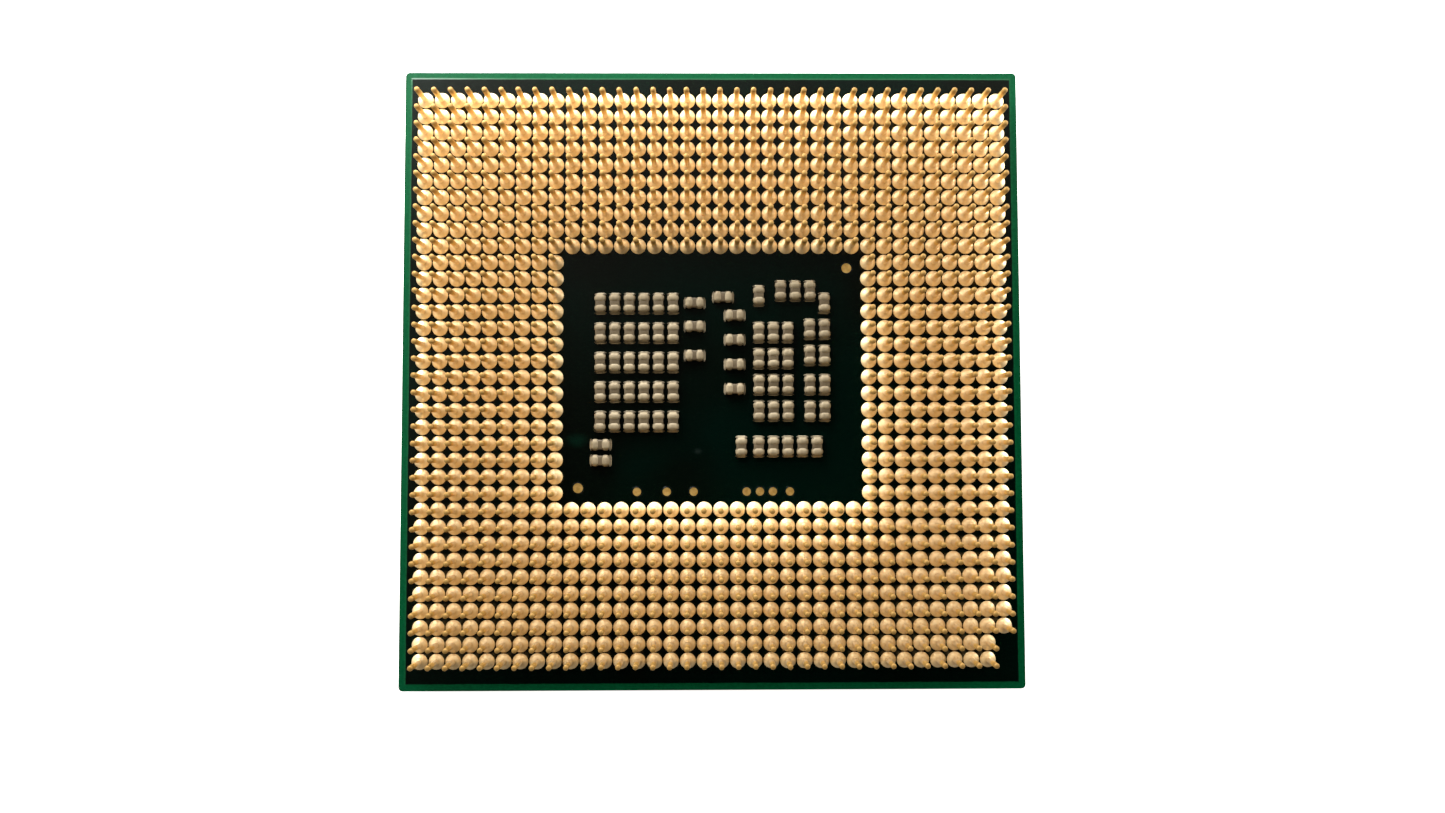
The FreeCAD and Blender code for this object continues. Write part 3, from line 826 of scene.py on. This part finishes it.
# The ceramic's width and height as a share of the CAD's, its length as a share of the whole
# capacitor's, and the rounding of its edges.
CERAMIC_WAIST = 0.94
CERAMIC_REACH = 0.9
CERAMIC_ROUNDING = 0.06 * MM
# A fillet starts this far inside its end cap, climbs at least this share of the CAD's height, and
# is this thick at its toe.
FILLET_LAP = 0.03 * MM
FILLET_LEAST_CLIMB = 0.85
FILLET_TOE = 0.012 * MM
# The power by which its height falls, its width as a share of the cap's and how far that swells,
# how much narrower its toe is, and the height of its sides as a share of its middle's.
FILLET_FALL = 2.2
FILLET_WIDTH = 0.90
FILLET_SWELL = 0.14
FILLET_TAPER = 0.35
FILLET_SIDE = 0.55
FILLET_STEPS = 6
FILLET_ARCH_STEPS = 8


def turned_place(centre, spin, lies_across):
    """Moves a part made along Y to its capacitor, with a slight turn."""
    quarter = math.pi / 2 if lies_across else 0.0
    matrix = Matrix.Translation(centre) @ Matrix.Rotation(quarter + spin, 4, "Z")
    return lambda point: matrix @ point


def solder_fillet(width, run, climb):
    """A concave fillet, arched across and narrowing to its toe, its back on the plane y = 0."""
    rings = []
    for i in range(FILLET_STEPS + 1):
        share = i / FILLET_STEPS
        y = run * share
        z = climb * (1 - share) ** FILLET_FALL + FILLET_TOE
        swell = FILLET_SWELL * math.sin(math.pi * (0.25 + 0.75 * share))
        half = width / 2 * (FILLET_WIDTH + swell) * (1 - FILLET_TAPER * share**3)
        ring = [(-half, y, 0), (half, y, 0)]
        for j in range(FILLET_ARCH_STEPS + 1):
            angle = math.pi * j / FILLET_ARCH_STEPS
            arch = FILLET_SIDE + (1 - FILLET_SIDE) * math.sin(angle) ** 0.7
            ring.append((half * math.cos(angle), y, z * arch))
        rings.append(ring)
    vertices, faces = lofted(rings)
    return vertices, [list(reversed(face)) for face in faces]


def two_nearest(boxes, centre):
    """The two boxes, each (lowest, highest corner), whose middles are closest to a point."""
    return sorted(boxes, key=lambda box: ((box[0] + box[1]) / 2 - centre).length)[:2]


def build_capacitors(bank):
    """Bodies, end caps and fillets of one bank of capacitors."""
    chance = random.Random(f"capacitors {bank}")
    ceramics = solids(f"capacitor_ceramics_{bank}")
    all_caps = solids(f"capacitor_terminals_{bank}")
    all_fillets = solids(f"capacitor_joints_{bank}")
    ceramic_shape, cap_shape, fillet_shape = Shape(), Shape(), Shape()
    for low, high in ceramics:
        centre = (low + high) / 2
        base = Vector((centre.x, centre.y, SEAT))
        ends = two_nearest(all_caps, centre)
        toes = two_nearest(all_fillets, centre)
        ends_low = Vector(min(box[0][i] for box in ends) for i in range(3))
        ends_high = Vector(max(box[1][i] for box in ends) for i in range(3))
        whole = ends_high - ends_low
        lies_across = whole.x > whole.y
        along, across = (0, 1) if lies_across else (1, 0)
        length, width, height = whole[along], whole[across], whole.z
        cap_length = (length - (high[along] - low[along])) / 2 + CAP_LAP
        place = turned_place(base, chance.uniform(-1, 1) * CAPACITOR_SPIN, lies_across)
        tone = chance.random()

        ceramic_width = (high[across] - low[across]) * CERAMIC_WAIST
        ceramic_height = (high.z - low.z) * CERAMIC_WAIST
        ceramic_size = (ceramic_width, length * CERAMIC_REACH, ceramic_height)
        vertices, faces = rounded_box(ceramic_size, CERAMIC_ROUNDING)
        lift = Vector((0, 0, low.z + ceramic_height / 2 - SEAT))
        ceramic_shape.add([v + lift for v in vertices], faces, place, tone)

        vertices, faces = rounded_box((width, cap_length, height), CAP_ROUNDING, CAP_ROUNDING_STEPS)
        for side in (1, -1):
            shift = Vector((0, side * (length - cap_length) / 2, height / 2))
            cap_shape.add([v + shift for v in vertices], faces, place, chance.random())

        toe = max(abs(corner[along] - centre[along]) for box in toes for corner in box)
        climb = (toes[0][1].z - SEAT) * chance.uniform(FILLET_LEAST_CLIMB, 1.0)
        vertices, faces = solder_fillet(width, toe - length / 2 + FILLET_LAP, climb)
        for side in (1, -1):
            turn = Matrix.Rotation(0 if side > 0 else math.pi, 4, "Z")
            shift = Vector((0, side * (length / 2 - FILLET_LAP), 0))
            fillet_shape.add([turn @ v + shift for v in vertices], faces, place, tone)
    for shape, kind, slot in (
        (ceramic_shape, "ceramics", "capacitor_ceramic"),
        (cap_shape, "terminals", "tin_plating"),
        (fillet_shape, "joints", "solder"),
    ):
        piece = shape.piece(f"capacitor_{kind}_look_{bank}", MATERIALS[slot])
        stand_for(piece, slot, f"capacitor_{kind}_{bank}")


for bank in CAPACITOR_BANKS:
    build_capacitors(bank)

# ---------------------------------------------------------------------------
# Pads
# ---------------------------------------------------------------------------

PAD_SEGMENTS = 40


def pad_profile(radius, thickness):
    """A disc with a soft rim, a little dished."""
    rim = 0.3 * thickness
    return [
        (radius, 0.0),
        (radius, thickness - rim),
        (radius - rim, thickness),
        (radius * 0.8, thickness - 0.15 * rim),
        (radius * 0.3, thickness - 0.4 * rim),
    ]


def build_round_pads(node, name):
    """Every pad of a node as a dished disc, its face on the mask's outer side."""
    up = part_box(node)[0].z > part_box("substrate_core")[1].z
    flip = Matrix.Identity(4) if up else Matrix.Rotation(math.pi, 4, "X")
    shape = Shape()
    for low, high in solids(node):
        profile = pad_profile((high.x - low.x) / 2, high.z - low.z)
        vertices, faces = turned(profile, PAD_SEGMENTS)
        start = Vector(((low.x + high.x) / 2, (low.y + high.y) / 2, low.z if up else high.z))
        shape.add([flip @ v + start for v in vertices], faces)
    stand_for(shape.piece(name, MATERIALS["gold_pad"]), "gold_pad", node)


for node in ("test_pads", "fiducial_pads_pin_side", "fiducial_pads_die_side"):
    build_round_pads(node, f"{node}_look")

# ---------------------------------------------------------------------------
# The mask with its relief
# ---------------------------------------------------------------------------

# How far the mask steps down outside the copper, how wide the step is, and the break of its edge.
MASK_DROP = 0.008 * MM
MASK_SLOPE = 0.09 * MM
MASK_EDGE = 0.006 * MM
CORNER = 0.25 * MM
TIGHTEST_CORNER = 0.05 * MM
# Section of the lip round a pad's window, in lip heights: out of the window, and up.
LIP_HEIGHT = 0.010 * MM
LIP_SECTION = ((0.0, -1.0), (7.0, -1.0), (5.0, 0.5), (2.5, 1.0), (0.5, 0.6))


def frame_ring(half, z):
    """A square ring of points whose rounded corners share the package's corner centres."""
    radius = max(CORNER - (HALF_SIDE - half), TIGHTEST_CORNER)
    return at_height(rounded_outline(half, half, radius), z)


def build_pin_side_mask():
    """The mask steps down at the edge of the copper and has a raised lip round each pad."""
    node = "solder_mask_pin_side"
    low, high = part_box(node)
    lower_face = high.z - MASK_DROP
    shape = Shape()
    rings = [
        frame_ring(HALF_SIDE, low.z),
        frame_ring(HALF_SIDE, lower_face - MASK_EDGE),
        frame_ring(HALF_SIDE - MASK_EDGE, lower_face),
        frame_ring(COPPER_EDGE + MASK_SLOPE, lower_face),
        frame_ring(COPPER_EDGE, high.z),
        frame_ring(COPPER_EDGE, low.z),
    ]
    shape.add(*tube(rings))
    windows = []
    for pads in ("test_pads", "fiducial_pads_pin_side"):
        for pad_low, pad_high in solids(pads):
            centre = (pad_low + pad_high) / 2
            windows.append((centre, (pad_high.x - pad_low.x) / 2))
    field = [(x, y) for x, y, _ in frame_ring(COPPER_EDGE, 0)]
    holes = [circle(centre, radius, PAD_SEGMENTS) for centre, radius in windows]
    shape.add(*pierced_sheet(field, holes, low.z, high.z))
    for centre, radius in windows:
        section = [(radius + out * LIP_HEIGHT, high.z + up * LIP_HEIGHT) for out, up in LIP_SECTION]
        vertices, faces = turned_ring(section, PAD_SEGMENTS)
        middle = Vector((centre.x, centre.y, 0))
        shape.add([v + middle for v in vertices], faces)
    piece = shape.piece("solder_mask_pin_side_look", MATERIALS["solder_mask"], smooth_angle=3)
    stand_for(piece, "solder_mask", node)


build_pin_side_mask()

# ---------------------------------------------------------------------------
# Dies and their underfill
# ---------------------------------------------------------------------------

DIE_EDGE = 0.02 * MM
# The skirt of underfill: how thick it is at its top, what share of the CAD's reach its toe has, how
# steeply it flares and how uneven its toe is.
SKIRT_TOP = 0.02 * MM
SKIRT_REACH = 0.93
SKIRT_FLARE = 2.6
SKIRT_UNEVEN = 0.05
SKIRT_LEVELS = 12
SKIRT_CORNER = 0.05 * MM
SKIRT_CORNER_STEPS = 10
# A side of an outline that is longer than LONG_SIDE is cut into SIDE_RUNS equal runs.
LONG_SIDE = 1.4 * MM
SIDE_RUNS = 16


def build_die(name):
    """A die with finely broken edges, its back down."""
    low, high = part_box(f"{name}_die")
    vertices, faces = rounded_box(high - low, DIE_EDGE, 2)
    centre = (low + high) / 2
    shape = Shape()
    shape.add([v + centre for v in vertices], faces)
    stand_for(shape.piece(f"{name}_die_look", MATERIALS["silicon"]), "silicon", f"{name}_die")


def dense(outline):
    """The same outline with each long straight side cut into equal runs."""
    points = []
    for (x0, y0), (x1, y1) in zip(outline, outline[1:] + outline[:1]):
        runs = SIDE_RUNS if math.hypot(x1 - x0, y1 - y0) > LONG_SIDE else 1
        for i in range(runs):
            points.append((x0 + (x1 - x0) * i / runs, y0 + (y1 - y0) * i / runs))
    return points


def build_underfill(name):
    """Resin that creeps out from under a die: a concave skirt with an uneven toe."""
    die_low, die_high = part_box(f"{name}_die")
    low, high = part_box(f"underfill_{name}")
    reach = high.x - die_high.x
    centre = (die_low + die_high) / 2
    half_x = (die_high.x - die_low.x) / 2
    half_y = (die_high.y - die_low.y) / 2
    chance = random.Random(f"underfill {name}")
    waves = [(k, chance.uniform(-1, 1) / k, chance.uniform(0, TURN)) for k in range(2, 15)]
    rings = []
    for level in range(SKIRT_LEVELS + 1):
        share = 1 - level / SKIRT_LEVELS
        z = low.z + (high.z - low.z) * share
        out = SKIRT_TOP + (reach * SKIRT_REACH - SKIRT_TOP) * share**SKIRT_FLARE
        corner = SKIRT_CORNER + out
        outline = rounded_outline(half_x + out, half_y + out, corner, SKIRT_CORNER_STEPS)
        ring = []
        for x, y in dense(outline):
            turn = math.atan2(y, x)
            wander = sum(size * math.sin(k * turn + phase) for k, size, phase in waves)
            grow = 1 + wander * SKIRT_UNEVEN * out / max(half_x, half_y)
            ring.append((centre.x + x * grow, centre.y + y * grow, z))
        rings.append(ring)
    rings.reverse()
    shape = Shape()
    shape.add(*lofted(rings))
    material = MATERIALS["underfill_resin"]
    piece = shape.piece(f"underfill_{name}_look", material, smooth_angle=60)
    stand_for(piece, "underfill_resin", f"underfill_{name}")


for name in DIES:
    build_die(name)
    build_underfill(name)

# ---------------------------------------------------------------------------
# Materials of the CAD nodes
# ---------------------------------------------------------------------------

for part in frame["record"]["subparts"]:
    mesh = CAD_NODES[part["node"]].data
    mesh.materials.clear()
    mesh.materials.append(MATERIALS[part["material_slot"]])

# ---------------------------------------------------------------------------
# Floor, light and camera
# ---------------------------------------------------------------------------

FLOOR_HALF = 0.6
FLOOR_THICKNESS = 0.002
FLOOR_CORNER = 0.1

# The world's light, as colours for the cosine between a direction and an axis. The tent is grey, so
# it has one number for each cosine. The side colours multiply it.
TENT_AXIS = (0.12, -0.25, 1.0)
TENT_GREYS = (
    (-0.25, 0.25),
    (-0.02, 0.9),
    (0.10, 1.4),
    (0.30, 2.0),
    (0.50, 2.1),
    (0.70, 1.50),
    (0.78, 0.62),
    (0.84, 0.22),
    (0.877, 0.20),
    (0.91, 0.09),
    (0.95, 0.004),
)
SIDE_AXIS = (-0.30, 1.0, 0.0)
SIDE_STOPS = (
    (-0.95, (0.03, 0.024, 0.017)),
    (-0.60, (0.12, 0.097, 0.070)),
    (-0.30, (0.33, 0.27, 0.18)),
    (0.00, (0.58, 0.51, 0.39)),
    (0.55, (1.10, 1.06, 0.97)),
)
# Near the horizon the world is as pale as the floor, which it continues.
UP_AXIS = (0.0, 0.0, 1.0)
HORIZON_PAPER = (0.9, 0.9, 0.9)
HORIZON_STOPS = ((0.07, WHITE), (0.14, BLACK))

# Name, place, width and height, and watts of each soft box.
SOFT_BOXES = (
    ("top_box", (-0.024, 0.050, 0.013), (0.070, 0.016), 0.07),
    ("key_box", (-0.030, 0.058, 0.042), (0.050, 0.030), 0.050),
    ("right_box", (0.050, 0.026, 0.010), (0.050, 0.012), 0.028),
)

# The camera's turn is in degrees about X, Y and Z. Its lens and sensor are in millimetres.
CAMERA_PLACE = (-0.00003, -0.00467, 0.06345)
CAMERA_TURN = (2.69, -0.592, -0.146)
CAMERA_LENS = 25.33
CAMERA_SENSOR = 36.0
CAMERA_NEAREST = 0.002
CAMERA_FARTHEST = 10.0


def build_floor():
    """A large plain sheet of pale paper that the dies lie on."""
    outline = rounded_outline(FLOOR_HALF, FLOOR_HALF, FLOOR_CORNER)
    rings = [at_height(outline, CAD_LOW.z - FLOOR_THICKNESS), at_height(outline, CAD_LOW.z)]
    shape = Shape()
    shape.add(*lofted(rings))
    floor = shape.piece("floor", floor_material())
    floor.visible_glossy = False


def soft_light(name, place, size, watts):
    """A rectangular soft box that faces the package."""
    lamp = bpy.data.lights.new(name, "AREA")
    lamp.shape = "RECTANGLE"
    lamp.size, lamp.size_y = size
    lamp.energy = watts
    holder = bpy.data.objects.new(name, lamp)
    holder.location = place
    holder.rotation_euler = (-Vector(place)).to_track_quat("-Z", "Y").to_euler()
    holder.visible_camera = False
    bpy.context.scene.collection.objects.link(holder)


def build_world():
    """A tent with a paper horizon: bright low down, dark overhead, dim and warm towards -Y."""
    world = bpy.data.worlds.new("studio")
    world.use_nodes = True
    tree = NodeTree(world.node_tree)
    direction = tree.node("ShaderNodeTexCoord").outputs["Generated"]

    def along(axis, stops):
        """A colour for each cosine between the direction and an axis."""
        inputs = [(0, direction), (1, Vector(axis).normalized())]
        product = tree.node("ShaderNodeVectorMath", inputs, operation="DOT_PRODUCT")
        inputs = [(0, product.outputs["Value"]), (1, -1.0), (2, 1.0), (3, 0.0), (4, 1.0)]
        share = tree.node("ShaderNodeMapRange", inputs).outputs[0]
        return tree.ramp(share, *[((cosine + 1) / 2, colour) for cosine, colour in stops])

    tent = along(TENT_AXIS, [(cosine, (grey, grey, grey)) for cosine, grey in TENT_GREYS])
    sides = along(SIDE_AXIS, SIDE_STOPS)
    studio = tree.blend(1.0, tent, sides, "MULTIPLY")
    backdrop = tree.blend(along(UP_AXIS, HORIZON_STOPS), studio, HORIZON_PAPER)
    tree.join(backdrop, tree.nodes["Background"].inputs["Color"])
    bpy.context.scene.world = world


def build_camera():
    """The camera nearly straight above the pins, close to the package, up along +Y."""
    camera = bpy.data.cameras.new("camera")
    camera.sensor_width = CAMERA_SENSOR
    camera.lens = CAMERA_LENS
    camera.clip_start = CAMERA_NEAREST
    camera.clip_end = CAMERA_FARTHEST
    holder = bpy.data.objects.new("camera", camera)
    holder.location = CAMERA_PLACE
    holder.rotation_euler = [math.radians(angle) for angle in CAMERA_TURN]
    bpy.context.scene.collection.objects.link(holder)
    bpy.context.scene.camera = holder


build_floor()
build_world()
for box in SOFT_BOXES:
    soft_light(*box)
build_camera()
bpy.context.scene.view_settings.view_transform = "Standard"
